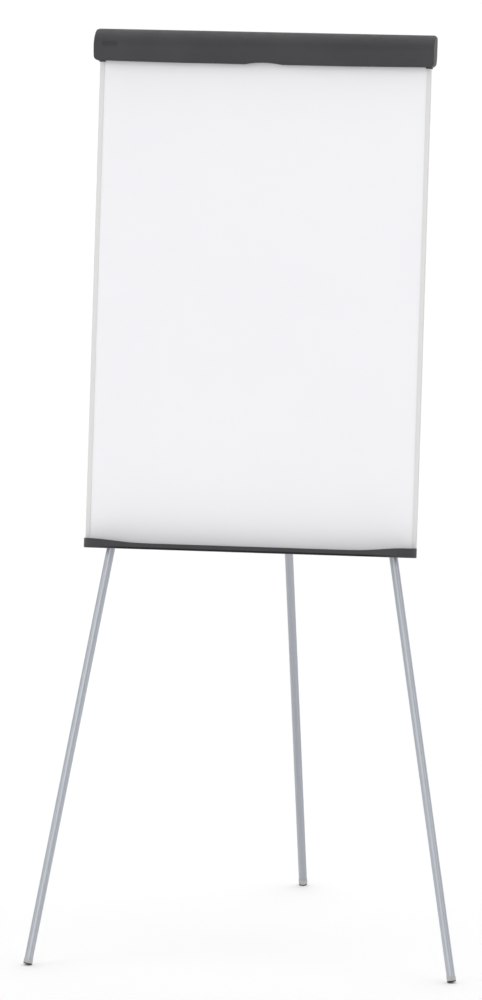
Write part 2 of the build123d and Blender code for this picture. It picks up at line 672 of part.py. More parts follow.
def rear_leg_head():
    """Moulded head of the rear leg, in the rear leg's frame: eye, socket and stop heel."""
    head = rod((-HEAD_HALF_WIDTH, 0, 0), (HEAD_HALF_WIDTH, 0, 0), HEAD_RADIUS)
    head += box((-HEAD_HALF_WIDTH, HEAD_HALF_WIDTH), (-HEAD_NECK, HEAD_NECK), (-HEAD_TUBE_TOP, 0))
    to_leg = rear_leg_frame().inverse() * board_frame()
    heel = box((-HEAD_HALF_WIDTH, HEAD_HALF_WIDTH), (STOP_BLOCK_Y + STOP_GAP, REAR_PIVOT_OFFSET),
               (STOP_BLOCK_Z[0] + HEEL_MARGIN, STOP_BLOCK_Z[1] - HEEL_MARGIN))
    head += to_leg * heel
    head += rod((0, 0, -HEAD_SOCKET_BOTTOM), (0, 0, -HEAD_SOCKET_TOP), SLEEVE_RADIUS)
    head -= rod((0, 0, -HEAD_SOCKET_BOTTOM), (0, 0, -HEAD_TUBE_TOP), UPPER_RADIUS)
    head -= rod((-HEAD_HALF_WIDTH, 0, 0), (HEAD_HALF_WIDTH, 0, 0), BOLT_RADIUS + BOLT_CLEARANCE)
    middle = -(HEAD_SOCKET_BOTTOM + HEAD_TUBE_TOP) / 2
    head -= rod((0, LOWER_RADIUS, middle), (0, SLEEVE_RADIUS + OVERCUT, middle),
                SCREW_RADIUS + HOLE_CLEARANCE)
    return head


def tube_screw(z):
    """Screw from outside a sleeve into the tube, in a leg frame."""
    head = rod((0, SLEEVE_RADIUS, z), (0, SLEEVE_RADIUS + SCREW_HEAD_HEIGHT, z), SCREW_HEAD_RADIUS)
    head = fillet(head.edges().group_by(Axis.Y)[-1], HEAD_EDGE_RADIUS)
    return head + rod((0, UPPER_RADIUS - TUBE_WALL, z), (0, SLEEVE_RADIUS, z), SCREW_RADIUS)


# ---------------------------------------------------------------- telescopic legs


def tube(radius, bottom, length):
    outer = rod((0, 0, bottom), (0, 0, bottom + length), radius)
    return outer - rod((0, 0, bottom), (0, 0, bottom + length), radius - TUBE_WALL)


def guide_plug(top):
    """Plug in the inner tube's upper end, whose head guides it in the outer tube."""
    head = rod((0, 0, top), (0, 0, top + PLUG_HEAD), UPPER_RADIUS - TUBE_WALL - SLIDE_FIT)
    head = chamfer(head.edges().group_by(Axis.Z)[-1], PLUG_CHAMFER)
    return head + rod((0, 0, top - PLUG_STEM), (0, 0, top), LOWER_RADIUS - TUBE_WALL)


def collar(end):
    """Clamping collar at the outer tube's lower end, with cheeks for the cam lever."""
    body = rod((0, 0, end - COLLAR_BELOW), (0, 0, end + COLLAR_ABOVE), COLLAR_RADIUS)
    body = fillet(body.edges().filter_by(GeomType.CIRCLE), COLLAR_EDGE_RADIUS)
    pin_z = end + LEVER_PIN_Z
    for side in (-1, 1):
        x = sorted((side * CHEEK_INNER, side * CHEEK_OUTER))
        body += box(x, (0, LEVER_PIN_Y), (pin_z - CHEEK_RADIUS, pin_z + CHEEK_RADIUS))
        body += rod((x[0], LEVER_PIN_Y, pin_z), (x[1], LEVER_PIN_Y, pin_z), CHEEK_RADIUS)
    body -= rod((-CHEEK_OUTER, LEVER_PIN_Y, pin_z), (CHEEK_OUTER, LEVER_PIN_Y, pin_z), LEVER_PIN_RADIUS)
    bore = LOWER_RADIUS + SLIDE_FIT
    body -= box((-CHEEK_INNER, CHEEK_INNER), (bore + TONGUE, COLLAR_RADIUS + OVERCUT),
                (pin_z - CAM_WINDOW / 2, pin_z + CAM_WINDOW / 2))
    body -= rod((0, 0, end - COLLAR_BELOW), (0, 0, end), bore)
    body -= rod((0, 0, end), (0, 0, end + COLLAR_ABOVE), UPPER_RADIUS)
    return body


def cam_lever(end):
    """Cam lever lying along the tube when locked, with a wide grip that turns outwards."""
    pin_z = end + LEVER_PIN_Z
    half = LEVER_HALF_WIDTH
    lever = rod((-half, LEVER_PIN_Y, pin_z), (half, LEVER_PIN_Y, pin_z), CAM_RADIUS)
    lobe_y = LEVER_PIN_Y - CAM_OFFSET
    lever += rod((-half, lobe_y, pin_z), (half, lobe_y, pin_z), CAM_LOBE_RADIUS)
    front = LEVER_ARM_Y
    back = front + LEVER_ARM_THICKNESS
    grip_bottom = end + LEVER_GRIP_START
    bend = end + LEVER_TOP - LEVER_FLARE
    top = end + LEVER_TOP
    lever += section([(front, pin_z), (back + LEVER_FLARE_DEPTH, pin_z), (back, grip_bottom + CAM_RADIUS),
                      (front, grip_bottom + CAM_RADIUS)], (-half, half))
    grip = section([(front, grip_bottom), (back, grip_bottom), (back, bend),
                    (back + LEVER_FLARE_DEPTH, top), (front + LEVER_FLARE_DEPTH, top), (front, bend)],
                   (-LEVER_GRIP_HALF_WIDTH, LEVER_GRIP_HALF_WIDTH))
    tips = grip.edges().filter_by(Axis.X).group_by(Axis.Z)[-1]
    lever += fillet(tips, LEVER_TIP_RADIUS)
    return lever - rod((-half, LEVER_PIN_Y, pin_z), (half, LEVER_PIN_Y, pin_z),
                       LEVER_PIN_RADIUS + LEVER_PIN_FIT)


def lever_pin(end):
    pin_z = end + LEVER_PIN_Z
    return rod((-CHEEK_OUTER, LEVER_PIN_Y, pin_z), (CHEEK_OUTER, LEVER_PIN_Y, pin_z), LEVER_PIN_RADIUS)


def foot_cap(reach):
    """Ferrule over the inner tube's lower end, which holds the rubber pad."""
    floor = -reach + PAD_THICKNESS
    cap = rod((0, 0, floor), (0, 0, floor + CAP_FLOOR + CAP_SLEEVE), CAP_RADIUS)
    cap = fillet(cap.edges().group_by(Axis.Z)[-1], CAP_EDGE_RADIUS)
    cap -= rod((0, 0, floor + CAP_FLOOR), (0, 0, floor + CAP_FLOOR + CAP_SLEEVE), LOWER_RADIUS)
    return cap - rod((0, 0, floor), (0, 0, floor + CAP_FLOOR), PAD_STEM_RADIUS)


def foot_pad(reach):
    """Rubber pad with a rounded rim and a stem that fills the ferrule's hole."""
    pad = rod((0, 0, -reach), (0, 0, -reach + PAD_THICKNESS), PAD_RADIUS)
    pad = fillet(pad.edges().group_by(Axis.Z)[0], PAD_EDGE)
    top = -reach + PAD_THICKNESS
    return pad + rod((0, 0, top), (0, 0, top + CAP_FLOOR), PAD_STEM_RADIUS)


def telescopic_leg(name, frame, tube_top):
    """All pieces of one leg, placed, where tube_top is the outer tube's top in the leg frame."""
    reach = leg_reach(frame)
    end = tube_top - UPPER_LENGTH
    lower_bottom = -reach + PAD_THICKNESS + CAP_FLOOR
    pieces = {
        "upper_tube": tube(UPPER_RADIUS, end, UPPER_LENGTH),
        "collar": collar(end),
        "lever": cam_lever(end),
        "lever_pin": lever_pin(end),
        "lower_tube": tube(LOWER_RADIUS, lower_bottom, LOWER_LENGTH),
        "guide_plug": guide_plug(lower_bottom + LOWER_LENGTH),
        "foot_cap": foot_cap(reach),
        "foot_pad": foot_pad(reach),
    }
    return {f"{piece}_{name}": frame * shape for piece, shape in pieces.items()}


# ---------------------------------------------------------------- saddles


def saddle_frame(side):
    """On a front leg's axis at the saddle's height, square to the leg, in the board frame."""
    local = board_frame().inverse() * front_leg_frame(side)
    along = (LEG_MOUNT_HEIGHT - SADDLE_Z) / math.cos(math.radians(front_splay()))
    return local * Pos(0, 0, -along)


def saddle(side):
    """Saddle that holds a front leg's outer tube against the board's back."""
    back = BACK_Y - FRONT_LEG_OFFSET
    half = SADDLE_HEIGHT / 2
    body = rod((0, 0, -half), (0, 0, half), SADDLE_RADIUS)
    body += box((-SADDLE_RADIUS, SADDLE_RADIUS), (back, 0), (-half, half))
    body += box((-SADDLE_HALF_WIDTH, SADDLE_HALF_WIDTH), (back, back + SADDLE_FOOT), (-half, half))
    for edge in (0, -1):
        body = fillet(body.edges().filter_by(Axis.Y).group_by(Axis.X)[edge], SADDLE_CORNER)
    body -= rod((0, 0, -half), (0, 0, half), UPPER_RADIUS)
    body &= box((-SADDLE_HALF_WIDTH, SADDLE_HALF_WIDTH), (back, SADDLE_RADIUS), (-half, half))
    for x in (-SADDLE_SCREW_X, SADDLE_SCREW_X):
        body -= screw_hole(x, back + SADDLE_FOOT, 0)
    return saddle_frame(side) * body


def saddle_screws():
    back = BACK_Y - FRONT_LEG_OFFSET
    return Compound([saddle_frame(side) * screw(x, back + SADDLE_FOOT, 0)
                     for side in (-1, 1) for x in (-SADDLE_SCREW_X, SADDLE_SCREW_X)])


# ---------------------------------------------------------------- assembly


def board_nodes():
    """Every piece that is drawn in the board frame, by node name."""
    nodes = {
        "writing_sheet": writing_sheet(),
        "board_core": board_core(),
        "backing_sheet": backing_sheet(),
        "header_rail": header_rail(),
        "header_screws": header_screws(),
        "clamp_bar": clamp_bar(),
        "clamp_strip": clamp_strip(),
        "hook_track": hook_track(),
        "pen_tray": pen_tray(),
        "tray_screws": tray_screws(),
        "leg_bracket": leg_bracket(),
        "bracket_screws": bracket_screws(),
        "pivot_bolt": pivot_bolt(),
        "pivot_nut": pivot_nut(),
        "pivot_washers": pivot_washers(),
        "saddle_screws": saddle_screws(),
    }
    handed = {
        "side_profile": side_profile,
        "hinge_pin": hinge_pin,
        "clamp_spring": clamp_spring,
        "paper_hook": paper_hook,
        "hook_peg": hook_peg,
        "saddle": saddle,
    }
    for name, build in handed.items():
        for hand, shape in both_sides(build).items():
            nodes[f"{name}_{hand}"] = shape
    return {name: board_frame() * shape for name, shape in nodes.items()}


def leg_nodes():
    """The three telescopic legs and the screws that hold their tubes."""
    nodes = {}
    for name, side in (("left", -1), ("right", 1)):
        nodes.update(telescopic_leg(name, front_leg_frame(side), TUBE_STOP))
    nodes.update(telescopic_leg("rear", rear_leg_frame(), -HEAD_TUBE_TOP))
    nodes["rear_leg_head"] = rear_leg_frame() * rear_leg_head()
    nodes["tube_screws"] = Compound([front_leg_frame(side) * tube_screw(-SLEEVE_BELOW / 2) for side in (-1, 1)])
    middle = -(HEAD_SOCKET_BOTTOM + HEAD_TUBE_TOP) / 2
    nodes["rear_tube_screw"] = rear_leg_frame() * tube_screw(middle)
    return nodes


def easel():
    """All nodes, centred so that the origin is under the middle of the bounding box."""
    nodes = {**board_nodes(), **leg_nodes()}
    front = min(shape.bounding_box().min.Y for shape in nodes.values())
    back = max(shape.bounding_box().max.Y for shape in nodes.values())
    return {name: Pos(0, -(front + back) / 2, 0) * shape for name, shape in nodes.items()}


os.makedirs("parts", exist_ok=True)
for node, solid in easel().items():
    export_step(solid, f"parts/{node}.step")
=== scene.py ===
import json
import math

import bmesh
import bpy
from mathutils import Matrix, Vector


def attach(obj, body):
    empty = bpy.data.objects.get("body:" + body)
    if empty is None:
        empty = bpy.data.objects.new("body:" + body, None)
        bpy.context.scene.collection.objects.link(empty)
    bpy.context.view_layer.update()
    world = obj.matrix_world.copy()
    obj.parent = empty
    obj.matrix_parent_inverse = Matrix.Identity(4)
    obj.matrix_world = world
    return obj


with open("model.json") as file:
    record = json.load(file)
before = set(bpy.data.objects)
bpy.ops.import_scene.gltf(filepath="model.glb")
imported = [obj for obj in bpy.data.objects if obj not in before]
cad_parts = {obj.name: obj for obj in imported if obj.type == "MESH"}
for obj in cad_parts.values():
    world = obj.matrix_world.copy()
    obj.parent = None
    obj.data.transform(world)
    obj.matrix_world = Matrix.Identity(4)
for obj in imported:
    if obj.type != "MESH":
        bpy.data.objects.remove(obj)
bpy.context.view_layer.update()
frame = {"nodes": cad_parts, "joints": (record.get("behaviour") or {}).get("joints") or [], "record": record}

# Flipchart easel: materials, small moulded details, floor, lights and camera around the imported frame.
# Lengths in metres. The board's own frame has x to the right, y away from the reader, z up the board.

JOINTS = {joint["name"]: joint for joint in frame["joints"]}
SLOT_OF_NODE = {part["node"]: part["material_slot"] for part in frame["record"]["subparts"]}
LEGS = ("left", "right", "rear")
MM = 0.001

# ---- the board's frame, from the clamp bar's hinge ----
BOARD_LEAN = math.radians(9)
HINGE_ON_BOARD = Vector((0, 14 * MM, 1079 * MM))

# ---- header section, on the board ----
HEADER_MIDDLE_Z = 1050 * MM
HEADER_FRONT_Y = -35 * MM
HEADER_BACK_Y = 20 * MM
HEADER_TOP_Z = 1089.3 * MM
HEADER_LOWER_RADIUS = 55.2 * MM

# ---- badge on the header, and the tray's ribs and painted shade line, on the board ----
BADGE_X = -325.5 * MM
BADGE_Z = 1055.0 * MM
BADGE_HALF_LENGTH = 17 * MM
BADGE_HALF_HEIGHT = 5.8 * MM
BADGE_LIFT = 0.45 * MM
TRAY_RIB_Y = (-12 * MM, -22 * MM, -32 * MM)
TRAY_FLOOR_Z = 2.5 * MM
# painted shade line: the span of the tray's lower edge that is coloured near black to stand in for shade
SHADE_LINE_ENDS_X = (0.26, 0.325)
SHADE_LINE_TOP_Z = (3.2 * MM, 5.2 * MM)
SHADE_LINE_BACK_Y = (-43.0 * MM, -42.7 * MM)

# ---- hooks and leg bracket ----
HOOK_X = 250 * MM
HOOK_FACE_Y = -10.3 * MM
HOOK_Z = 1041 * MM
GUSSET_Z = (1019.5 * MM, 1038.5 * MM)
GUSSET_HALF_THICKNESS = 1.1 * MM

# ---- collars, in a lever's frame ----
COLLAR_AXIS_Y = -19.5 * MM
COLLAR_RADIUS = 13.5 * MM
COLLAR_RIB_Z = 18 * MM

# ---- camera ----
CAMERA_AZIMUTH = math.radians(9.109)
CAMERA_ELEVATION = math.radians(8.973)
CAMERA_ROLL = math.radians(0.38)
CAMERA_DISTANCE = 14.473
FOCAL_SHARE = 6.935
SENSOR = 36.0
AIM_FROM_BOARD = Vector((-19.356 * MM, 0, 110.785 * MM))

# ---- sockets of the colour Mix node ----
MIX_FACTOR = 0
MIX_FIRST = 6
MIX_SECOND = 7
MIX_RESULT = 2

# ---- surroundings and tones ----
# painted shade: the rear leg's paint is darkened, standing in for the shade it sits in behind and under the
# board
REAR_PAINTED_SHADE = 0.82
SPANGLE = 12 * MM
WORLD_STRENGTH = 1.11
DARK_GREY = ((0.0520, 0.0505, 0.0535), (0.0600, 0.0585, 0.0615), (0.12, 0.12, 0.125), 0.56, 0.16)
UP_AND_BACK = (0, 0.8, 0.6)


def board_frame():
    """The board's frame in the row frame."""
    turn = Matrix.Rotation(-BOARD_LEAN, 4, "X")
    origin = Vector(JOINTS["clamp_bar_hinge"]["pos_m"]) - turn @ HINGE_ON_BOARD
    return Matrix.Translation(origin) @ turn


def lever_frame(leg):
    """Frame at a leg's lever pin: x across the leg, y away from the board, z up the leg."""
    up = Vector(JOINTS[f"leg_slide_{leg}"]["axis"]).normalized()
    across = -Vector(JOINTS[f"lever_turn_{leg}"]["axis"]).normalized()
    back = up.cross(across)
    turn = Matrix((across, back, up)).transposed().to_4x4()
    return Matrix.Translation(JOINTS[f"lever_turn_{leg}"]["pos_m"]) @ turn


BOARD = board_frame()
LEVER = {leg: lever_frame(leg) for leg in LEGS}
UPRIGHT = Matrix.Identity(4)


# ---------------------------------------------------------------- materials


class Shader:
    """One procedural material: a Principled shader and short calls for the nodes that feed it."""

    def __init__(self, name, turn=UPRIGHT, **sockets):
        self.material = bpy.data.materials.new(name)
        self.material.use_nodes = True
        self.tree = self.material.node_tree
        self.surface = self.tree.nodes["Principled BSDF"]
        for socket, value in sockets.items():
            self.surface.inputs[socket.replace("_", " ")].default_value = value
        self.turn = turn.to_euler()
        self.place = self.add("TexCoord").outputs["Object"]

    def add(self, kind, inputs=None, **settings):
        """A new node, with its settings and inputs, where an input is a value or another node's output."""
        node = self.tree.nodes.new("ShaderNode" + kind)
        for name, value in settings.items():
            setattr(node, name, value)
        for name, value in (inputs or {}).items():
            self.feed(node.inputs[name], value)
        return node

    def feed(self, socket, value):
        if isinstance(value, bpy.types.NodeSocket):
            self.tree.links.new(value, socket)
        else:
            socket.default_value = value

    def set(self, socket, value):
        self.feed(self.surface.inputs[socket], value)

    def grain(self, size, detail=2.0, distortion=0.0):
        """Noise from 0 to 1, whose features have this size along the material's x, y and z."""
        where = self.add("Mapping", {"Vector": self.place, "Rotation": self.turn, "Scale": size},
                         vector_type="TEXTURE").outputs["Vector"]
        noise = self.add("TexNoise", {"Vector": where, "Scale": 1.0, "Detail": detail,
                                      "Distortion": distortion})
        return noise.outputs[0]

    def cells(self, size, output="Distance", feature="F1"):
        """Cell pattern of this size, as its distance or its random colour."""
        voronoi = self.add("TexVoronoi", {"Vector": self.place, "Scale": 1 / size}, feature=feature)
        return voronoi.outputs[output]

    def between(self, factor, low, high, start=0.0, end=1.0):
        """A number that goes from low to high as factor goes from start to end."""
        node = self.add("MapRange", {"Value": factor, "From Min": start, "From Max": end,
                                     "To Min": low, "To Max": high})
        return node.outputs["Result"]

    def shades(self, factor, low, high, start=0.3, end=0.7):
        """A colour that goes from low to high as factor goes from start to end."""
        ramp = self.add("ValToRGB", {"Fac": factor})
        for element, place, colour in zip(ramp.color_ramp.elements, (start, end), (low, high)):
            element.position = place
            element.color = (*colour, 1)
        return ramp.outputs["Color"]

    def mix(self, factor, first, second):
        """Blend of two colours."""
        inputs = {MIX_FACTOR: factor, MIX_FIRST: first, MIX_SECOND: second}
        return self.add("Mix", inputs, data_type="RGBA").outputs[MIX_RESULT]

    def edges(self, radius):
        """1 along the edges of the shape, falling to 0 on its open faces."""
        rounded = self.add("Bevel", {"Radius": radius}, samples=4).outputs["Normal"]
        plain = self.add("NewGeometry").outputs["Normal"]
        same = self.add("VectorMath", {0: rounded, 1: plain}, operation="DOT_PRODUCT").outputs["Value"]
        return self.between(same, 0.0, 1.0, 0.995, 0.86)

    def height(self):
        """Height above the floor at rest, in metres."""
        return self.add("SeparateXYZ", {"Vector": self.place}).outputs["Z"]

    def on_board(self):
        """The point's place in the board's frame, as its x, y and z."""
        where = self.add("Mapping", {"Vector": self.place, "Location": BOARD.translation,
                                     "Rotation": BOARD.to_euler()}, vector_type="TEXTURE")
        return self.add("SeparateXYZ", {"Vector": where.outputs["Vector"]}).outputs

    def both(self, first, second):
        """Product of two numbers."""
        return self.add("Math", {0: first, 1: second}, operation="MULTIPLY").outputs["Value"]

    def relief(self, *layers):
        """Bump made of layers, each a pattern, its strength and its depth."""
        normal = None
        for pattern, strength, depth in layers:
            inputs = {"Height": pattern, "Strength": strength, "Distance": depth}
            if normal is not None:
                inputs["Normal"] = normal
            normal = self.add("Bump", inputs).outputs["Normal"]
        self.set("Normal", normal)


def plastic_shader(name, dark, light, worn, roughness, specular=0.32, turn=UPRIGHT):
    """Spark-textured moulded plastic, paler where rubbed along its edges, and its colour."""
    shader = Shader(name, turn, IOR=1.5, Specular_IOR_Level=specular)
    patches = shader.grain((0.11, 0.11, 0.11), detail=3)
    colour = shader.shades(patches, dark, light)
    edge = shader.edges(0.9 * MM)
    scuffs = shader.grain((0.006, 0.006, 0.002), detail=4)
    wear = shader.both(edge, shader.between(scuffs, 0.15, 0.9, 0.35, 0.65))
    colour = shader.mix(wear, colour, (*worn, 1))
    shader.set("Base Color", colour)
    satin = shader.grain((0.02, 0.02, 0.02), detail=3)
    shader.set("Roughness", shader.between(satin, roughness - 0.06, roughness + 0.06, 0.3, 0.7))
    shader.relief((shader.cells(0.75 * MM), 0.35, 0.04 * MM),
                  (shader.grain((0.4 * MM, 0.4 * MM, 0.4 * MM), detail=3), 0.25, 0.05 * MM))
    return shader, colour


def moulded_plastic(*look):
    """The material of plastic_shader, with the same arguments."""
    return plastic_shader(*look)[0].material


def tray_plastic(*look):
    """The tray's plastic, with a painted shade line: near-black colour along the middle of its rolled lower
    edge, where shade falls under it.
    """
    shader, colour = plastic_shader(*look)
    x, y, z = shader.on_board()
    middle = shader.between(shader.add("Math", {0: x}, operation="ABSOLUTE").outputs["Value"],
                            1.0, 0.0, *SHADE_LINE_ENDS_X)
    low = shader.between(z, 1.0, 0.0, *SHADE_LINE_TOP_Z)
    outside = shader.between(y, 1.0, 0.0, *SHADE_LINE_BACK_Y)
    # painted shade: the middle of the rolled lower edge, low and on the outside, is mixed to near black for
    # the shade under it
    painted_shade_line = shader.both(shader.both(middle, low), outside)
    shader.set("Base Color", shader.mix(painted_shade_line, colour, (0.006, 0.006, 0.006, 1)))
    return shader.material


def lacquered_steel():
    """White lacquered sheet: faint orange peel, and the dull traces that wiping leaves."""
    shader = Shader("white_lacquer", BOARD, IOR=1.5, Coat_Weight=1.0, Coat_Roughness=0.22)
    drift = shader.grain((0.35, 0.35, 0.5), detail=2)
    shader.set("Base Color", shader.shades(drift, (0.800, 0.803, 0.825), (0.812, 0.815, 0.836)))
    wiped = shader.grain((0.22, 0.05, 0.09), detail=4, distortion=0.3)
    shader.set("Roughness", shader.between(wiped, 0.29, 0.34, 0.35, 0.7))
    peel = shader.grain((2.2 * MM, 2.2 * MM, 2.2 * MM), detail=2)
    shader.relief((peel, 0.08, 0.02 * MM))
    return shader.material


def galvanised_steel():
    """Zinc spangle on the backing sheet: crystals that differ in shade and gloss."""
    shader = Shader("zinc_spangle", BOARD, Metallic=0.85, IOR=1.5)
    crystals = shader.cells(SPANGLE, "Color")
    shade = shader.add("SeparateColor", {"Color": crystals})
    cloud = shader.grain((0.12, 0.12, 0.12), detail=4)
    bright = shader.shades(shade.outputs["Red"], (0.46, 0.473, 0.485), (0.555, 0.563, 0.57), 0.0, 1.0)
    shader.set("Base Color", shader.mix(shader.between(cloud, 0.0, 0.35, 0.4, 0.7), bright,
                                        (0.50, 0.51, 0.52, 1)))
    shader.set("Roughness", shader.between(shade.outputs["Green"], 0.34, 0.52))
    borders = shader.cells(SPANGLE, "Distance", "DISTANCE_TO_EDGE")
    shader.relief((shader.between(borders, 0.0, 1.0, 0.0, 0.06), 0.15, 0.03 * MM),
                  (shader.grain((0.8 * MM, 0.8 * MM, 0.8 * MM), detail=3), 0.08, 0.03 * MM))
    return shader.material


def extruded_aluminium(turn=BOARD, lines=(0.5 * MM, 0.5 * MM, 0.22)):
    """Light satin profile with the fine lines that the die leaves along it."""
    shader = Shader("satin_profile", turn, Metallic=0.15, IOR=1.5, Coat_Weight=0.15, Coat_Roughness=0.25)
    drawn = shader.grain(lines, detail=4)
    tone = shader.shades(drawn, (0.636, 0.635, 0.628), (0.686, 0.685, 0.678))
    shader.set("Base Color", tone)
    shader.set("Roughness", shader.between(drawn, 0.34, 0.46, 0.3, 0.7))
    shader.relief((drawn, 0.20, 0.05 * MM))
    return shader.material


def painted_tube(leg):
    """Silver metallic paint on a drawn tube, with long faint streaks and fine slide marks. The rear leg's
    paint is darker, a painted shade.
    """
    # painted shade: the rear leg's colours are scaled darker than the front legs'
    depth = REAR_PAINTED_SHADE if leg == "rear" else 1.0
    tones = [tuple(depth * part for part in tone) for tone in ((0.36, 0.385, 0.43), (0.48, 0.50, 0.535))]
    shader = Shader(f"silver_paint_{leg}", LEVER[leg], Metallic=0.55, IOR=1.5,
                    Coat_Weight=0.2, Coat_Roughness=0.2)
    streaks = shader.grain((4.5 * MM, 4.5 * MM, 0.45), detail=3)
    flakes = shader.cells(0.35 * MM, "Color")
    sparkle = shader.add("SeparateColor", {"Color": flakes}).outputs["Red"]
    tone = shader.shades(streaks, *tones)
    bright = shader.shades(sparkle, (0.34, 0.36, 0.40), (0.56, 0.58, 0.61), 0.0, 1.0)
    shader.set("Base Color", shader.mix(0.22, tone, bright))
    marks = shader.grain((0.35 * MM, 0.35 * MM, 0.12), detail=3)
    shader.set("Roughness", shader.between(marks, 0.30, 0.42, 0.35, 0.7))
    shader.relief((streaks, 0.10, 0.12 * MM), (marks, 0.10, 0.02 * MM), (sparkle, 0.05, 0.01 * MM))
    return shader.material


def plated_steel(name, low, high, roughness):
    """Bright plating with a faint drift of tint and turned marks."""
    shader = Shader(name, Metallic=1.0)
    drift = shader.grain((3 * MM, 3 * MM, 3 * MM), detail=3)
    shader.set("Base Color", shader.shades(drift, low, high))
    rub = shader.grain((0.5 * MM, 0.5 * MM, 0.5 * MM), detail=4)
    shader.set("Roughness", shader.between(rub, roughness - 0.07, roughness + 0.1, 0.3, 0.7))
    shader.relief((rub, 0.12, 0.02 * MM))
    return shader.material


def black_rubber():
    """Dull rubber, dusty where it is close to the floor."""
    shader = Shader("black_rubber", IOR=1.5)
    patches = shader.grain((4 * MM, 4 * MM, 4 * MM), detail=4)
    clean = shader.shades(patches, (0.012, 0.012, 0.012), (0.020, 0.020, 0.020))
    low = shader.between(shader.height(), 0.35, 0.0, 0.0, 4 * MM)
    dust = shader.both(low, shader.between(patches, 0.2, 1.0, 0.35, 0.7))
    shader.set("Base Color", shader.mix(dust, clean, (0.13, 0.12, 0.11, 1)))
    shader.set("Roughness", shader.between(patches, 0.68, 0.86, 0.3, 0.7))
    shader.relief((shader.grain((0.5 * MM, 0.5 * MM, 0.5 * MM), detail=3), 0.25, 0.05 * MM))
    return shader.material


def fibre_core():
    """Brown board core, seen only at its cut edges."""
    shader = Shader("fibre_core", BOARD)
    fibres = shader.grain((6 * MM, 0.4 * MM, 0.4 * MM), detail=5)
    shader.set("Base Color", shader.shades(fibres, (0.30, 0.20, 0.12), (0.46, 0.34, 0.21)))
    shader.set("Roughness", shader.between(fibres, 0.75, 0.95, 0.3, 0.7))
    shader.relief((fibres, 0.4, 0.2 * MM))
    return shader.material


def slot_materials():
    """The material for each of the record's slots. The tubes' paint is made for each leg."""
    return {
        "white_lacquered_steel": lacquered_steel(),
        "honeycomb_core": fibre_core(),
        "galvanised_backing": galvanised_steel(),
        "light_grey_profile": extruded_aluminium(),
        "dark_grey_plastic": moulded_plastic("dark_grey_moulding", *DARK_GREY, BOARD),
        "black_plastic": moulded_plastic("black_moulding", (0.014, 0.014, 0.015),
                                         (0.020, 0.020, 0.021), (0.07, 0.07, 0.075), 0.42),
        "light_grey_plastic": moulded_plastic("light_grey_moulding", (0.40, 0.41, 0.40),
                                              (0.46, 0.465, 0.455), (0.62, 0.62, 0.61), 0.5),
        "zinc_plated_steel": plated_steel("bright_zinc", (0.56, 0.57, 0.60), (0.70, 0.69, 0.64), 0.30),
        "spring_steel": plated_steel("spring_wire", (0.34, 0.34, 0.36), (0.46, 0.46, 0.47), 0.36),
        "black_rubber": black_rubber(),
    }


def dress_frame(materials):
    """Gives every CAD node its own material, its slot's, or its leg's paint."""
    for name, node in frame["nodes"].items():
        material = (materials.get(name) or materials.get(SLOT_OF_NODE[name])
                    or materials[name.rsplit("_", 1)[1]])
        for holder in node.material_slots:
            holder.material = material


# ---------------------------------------------------------------- small moulded details


def piece(name, mesh, material, body):
    """Finishes a bmesh as a piece that rides on a body."""
    bmesh.ops.recalc_face_normals(mesh, faces=mesh.faces)
    data = bpy.data.meshes.new(name)
    mesh.to_mesh(data)
    mesh.free()
    data.shade_smooth()
    data.set_sharp_from_angle(angle=math.radians(38))
    data.materials.append(material)
    made = bpy.data.objects.new(name, data)
    bpy.context.scene.collection.objects.link(made)
    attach(made, body)
    return made


def ridge(mesh, place, centre, length, width, height, along=(1, 0, 0), out=(0, 1, 0)):
    """Adds a rounded ridge with tapered ends to mesh. place is its frame, and out its raised side."""
    along = Vector(along)
    out = Vector(out)
    side = out.cross(along)
    stations = 14
    arc = 8
    rings = []
    for i in range(stations + 1):
        share = -math.cos(math.pi * i / stations)
        reach = share * length / 2
        taper = math.sqrt(max(1 - abs(share) ** 10, 0.0)) if 0 < i < stations else 0.25
        ring = []
        for j in range(arc + 1):
            angle = math.pi * j / arc
            point = (Vector(centre) + along * reach + side * (math.cos(angle) * width / 2)
                     + out * (math.sin(angle) * height * taper - 0.2 * MM))
            ring.append(mesh.verts.new(place @ point))
        rings.append(ring)
    for first, second in zip(rings, rings[1:]):
        for j in range(arc):
            mesh.faces.new((first[j], first[j + 1], second[j + 1], second[j]))
        mesh.faces.new((first[arc], first[0], second[0], second[arc]))
    mesh.faces.new(rings[0])
    mesh.faces.new(rings[-1][::-1])


def lever_ridges(material):
    """Grip ridges across the outer face of each cam lever."""
    for leg in LEGS:
        mesh = bmesh.new()
        for step in range(5):
            ridge(mesh, LEVER[leg], (0, 0.5 * MM, (24 + 3.6 * step) * MM), 13 * MM, 1.7 * MM, 0.9 * MM)
        piece(f"lever_ridges_{leg}", mesh, material, f"locking_lever_{leg}")


def collar_ribs(material):
    """Upright grip ribs round the front of each collar, above its cheeks."""
    for leg in LEGS:
        mesh = bmesh.new()
        for step in range(-4, 5):
            angle = math.radians(-90 + 22 * step)
            out = Vector((math.cos(angle), math.sin(angle), 0))
            centre = out * COLLAR_RADIUS + Vector((0, COLLAR_AXIS_Y, COLLAR_RIB_Z))
            ridge(mesh, LEVER[leg], centre, 44 * MM, 2.0 * MM, 0.9 * MM, along=(0, 0, 1), out=out)
        piece(f"collar_ribs_{leg}", mesh, material, "rear_leg" if leg == "rear" else "frame")


def hook_ridges(material):
    """Thumb ridges on the face of each paper hook."""
    for side, hand in ((-1, "left"), (1, "right")):
        mesh = bmesh.new()
        for offset in (-8.6, -6.4, 6.4, 8.6):
            centre = (side * HOOK_X + offset * MM, HOOK_FACE_Y, HOOK_Z)
            ridge(mesh, BOARD, centre, 9 * MM, 1.1 * MM, 0.7 * MM, along=(0, 0, 1), out=(0, -1, 0))
        piece(f"hook_ridges_{hand}", mesh, material, f"hook_{hand}")


